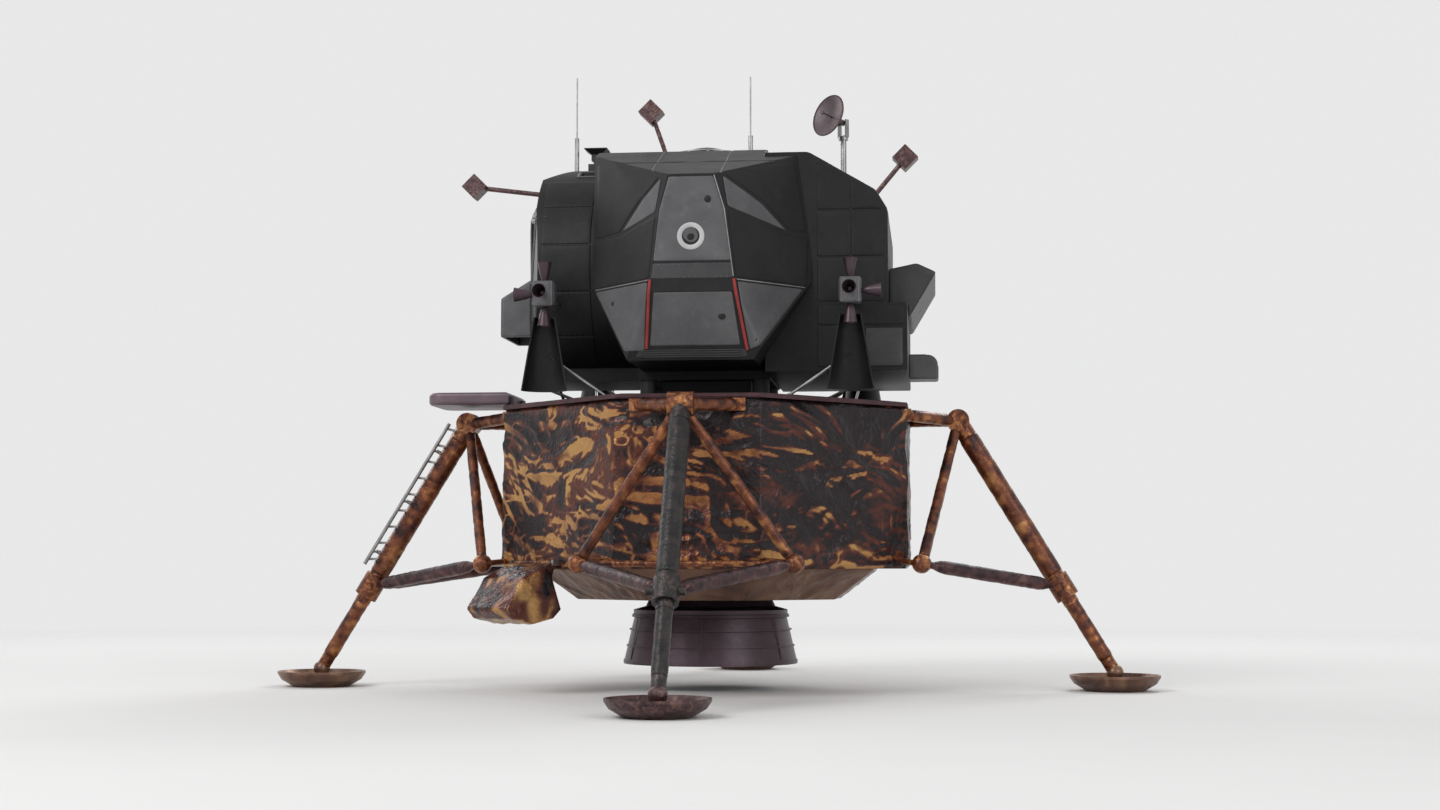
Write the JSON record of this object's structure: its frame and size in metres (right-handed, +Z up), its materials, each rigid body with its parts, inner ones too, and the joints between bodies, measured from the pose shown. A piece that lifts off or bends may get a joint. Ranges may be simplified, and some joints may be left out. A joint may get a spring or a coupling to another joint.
{
  "type": "lunar module",
  "caption": "Two-stage crewed lander on splayed legs: foil-wrapped descent stage with engine below, faceted cabin stage with thrusters, hatches and antennas above.",
  "frame": {"origin": "on the ground under the upright axis through the docking tunnel and the descent engine", "axes": "+Z up, -Y forward over the porch and ladder, +X port"},
  "size_m": [9.424, 9.424, 6.62],
  "materials": {
    "amber_foil": "crinkled amber film blanket over painted panels",
    "gold_foil": "smooth tan-gold film over sheet metal",
    "strut_foil": "copper-brown film wrapped round tubes",
    "grey_panel": "satin grey anodised sheet panels with seams",
    "black_panel": "matt black painted heat panels",
    "dark_metal": "dark heat-proof sheet",
    "nozzle_alloy": "heat-stained dark alloy",
    "bare_metal": "bare machined metal",
    "porch_plate": "pale anodised plate",
    "antenna_white": "matt off-white paint",
    "pane": "tinted window glass"
  },
  "bodies": {
    "craft": {"aft_bay": "grey_panel", "aft_footpad": "gold_foil", "aft_hood": "black_panel", "aft_junction_box": "grey_panel", "aft_outrigger": "strut_foil", "aft_primary_strut": "strut_foil", "aft_secondary_struts": "strut_foil", "base_shield": "gold_foil", "boom_antennas": "strut_foil", "cabin_shell": "black_panel", "cabin_windows": "pane", "control_console": "grey_panel", "descent_body": "amber_foil", "descent_deck": "dark_metal", "dish_mast": "bare_metal", "docking_ring": "bare_metal", "forward_footpad": "gold_foil", "forward_outrigger": "strut_foil", "forward_primary_strut": "strut_foil", "forward_secondary_struts": "strut_foil", "hinge_brackets": "bare_metal", "interstage_posts": "bare_metal", "ladder": "bare_metal", "midsection": "grey_panel", "nose_hood": "grey_panel", "plume_deflectors": "dark_metal", "porch": "porch_plate", "port_footpad": "gold_foil", "port_outrigger": "strut_foil", "port_primary_strut": "strut_foil", "port_secondary_struts": "strut_foil", "port_tank_bay": "grey_panel", "radar_pedestal": "grey_panel", "starboard_footpad": "gold_foil", "starboard_outrigger": "strut_foil", "starboard_primary_strut": "strut_foil", "starboard_secondary_struts": "strut_foil", "starboard_tank_bay": "grey_panel", "thruster_bells": "nozzle_alloy", "thruster_cores": "grey_panel", "whip_antennas": "bare_metal"},
    "engine_ring": {"gimbal_ring": "bare_metal"},
    "engine": {"engine_chamber": "nozzle_alloy", "engine_nozzle": "nozzle_alloy"},
    "tray": {"equipment_tray": "amber_foil"},
    "landing_radar": {"landing_radar": "antenna_white"},
    "forward_hatch": {"forward_hatch": "grey_panel"},
    "overhead_hatch": {"overhead_hatch": "dark_metal"},
    "dish_yoke": {"dish_yoke": "bare_metal"},
    "dish": {"dish": "antenna_white"},
    "radar_head": {"radar_head": "grey_panel"}
  },
  "joints": [
    {"name": "engine_pitch", "type": "hinge", "parent": "craft", "child": "engine_ring", "pos_m": [0, 0, 1.9], "axis": [1, 0, 0], "range_deg": [-6, 6]},
    {"name": "engine_roll", "type": "hinge", "parent": "engine_ring", "child": "engine", "pos_m": [0, 0, 1.9], "axis": [0, 1, 0], "range_deg": [-6, 6]},
    {"name": "tray_fold", "type": "hinge", "parent": "craft", "child": "tray", "pos_m": [1.17891, -1.68877, 1.33], "axis": [-0.7071, -0.7071, 0], "range_deg": [0, 105]},
    {"name": "landing_radar_tilt", "type": "hinge", "parent": "craft", "child": "landing_radar", "pos_m": [-1.25565, 1.25565, 1.12], "axis": [0.7071, 0.7071, 0], "range_deg": [0, 24]},
    {"name": "forward_hatch_hinge", "type": "hinge", "parent": "craft", "child": "forward_hatch", "pos_m": [-0.376, -1.804, 3.64], "axis": [0, 0, 1], "range_deg": [0, 85]},
    {"name": "overhead_hatch_hinge", "type": "hinge", "parent": "craft", "child": "overhead_hatch", "pos_m": [0, 0.282, 5.625], "axis": [1, 0, 0], "range_deg": [0, 75]},
    {"name": "dish_azimuth", "type": "hinge", "parent": "craft", "child": "dish_yoke", "pos_m": [-0.84, 1.4, 6.04], "axis": [0, 0, 1], "range_deg": [-90, 90]},
    {"name": "dish_elevation", "type": "hinge", "parent": "dish_yoke", "child": "dish", "pos_m": [-0.84, 1.4, 6.24], "axis": [-0.6947, -0.7193, 0], "range_deg": [-12, 70]},
    {"name": "radar_head_tilt", "type": "hinge", "parent": "craft", "child": "radar_head", "pos_m": [0, -1.245, 5.72], "axis": [1, 0, 0], "range_deg": [-30, 30]}
  ]
}
